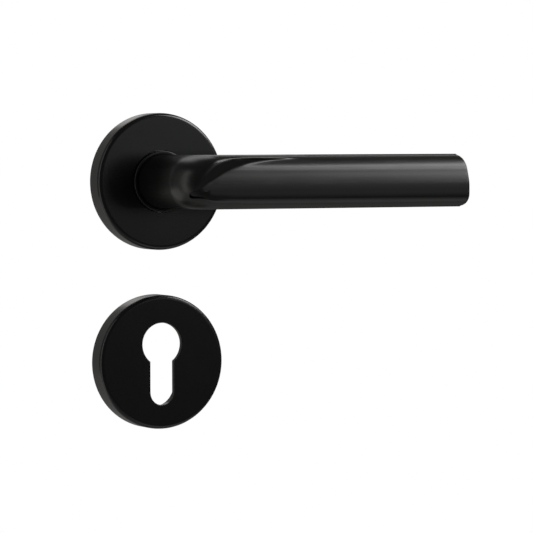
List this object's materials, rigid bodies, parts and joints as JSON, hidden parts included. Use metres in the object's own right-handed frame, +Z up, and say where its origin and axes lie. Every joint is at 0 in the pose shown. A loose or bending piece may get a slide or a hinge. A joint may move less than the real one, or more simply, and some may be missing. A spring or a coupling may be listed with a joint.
{
  "type": "lever handle lockset",
  "caption": "Door lever on a round sprung rose with spindle, and a matching round escutcheon with a euro-profile keyhole.",
  "frame": {"origin": "the lever's turning axis where it meets the door face", "axes": "+Z up the door, +Y into the door through the spindle, +X along the lever's grip at rest; the door face is the plane Y = 0"},
  "size_m": [0.146, 0.0943, 0.1271],
  "materials": {
    "lever_metal": "satin",
    "black_coat": "satin",
    "black_nylon": "matte",
    "dark_steel": "satin",
    "zinc_steel": "satin",
    "spring_steel": "satin"
  },
  "bodies": {
    "door_side": {"rose_base": "zinc_steel", "neck_bush": "black_nylon", "return_spring": "spring_steel", "rose_clip_left": "spring_steel", "rose_clip_right": "spring_steel", "spring_cover_plate": "zinc_steel", "plate_screw_left": "zinc_steel", "plate_screw_right": "zinc_steel", "rose_screw_top": "zinc_steel", "rose_screw_bottom": "zinc_steel", "escutcheon_base": "black_nylon", "escutcheon_clip_top": "spring_steel", "escutcheon_clip_bottom": "spring_steel", "escutcheon_screw_left": "zinc_steel", "escutcheon_screw_right": "zinc_steel"},
    "lever_set": {"lever": "lever_metal", "grub_screw": "dark_steel", "spindle": "zinc_steel", "driver_plate": "zinc_steel", "thrust_washer": "spring_steel", "circlip": "spring_steel"},
    "rose_cap": {"rose_cover": "black_coat"},
    "escutcheon_cap": {"escutcheon_cover": "black_coat"}
  },
  "joints": [
    {"name": "lever_turn", "type": "hinge", "parent": "door_side", "child": "lever_set", "pos_m": [0, 0, 0], "axis": [0, 1, 0], "range_deg": [0, 45], "stiffness_Nm_per_rad": 0.8, "springref_deg": -34.38, "deforming": ["return_spring"]},
    {"name": "rose_cover_pull", "type": "slide", "parent": "door_side", "child": "rose_cap", "axis": [0, -1, 0], "range_m": [0, 0.014]},
    {"name": "escutcheon_cover_pull", "type": "slide", "parent": "door_side", "child": "escutcheon_cap", "axis": [0, -1, 0], "range_m": [0, 0.014]}
  ]
}
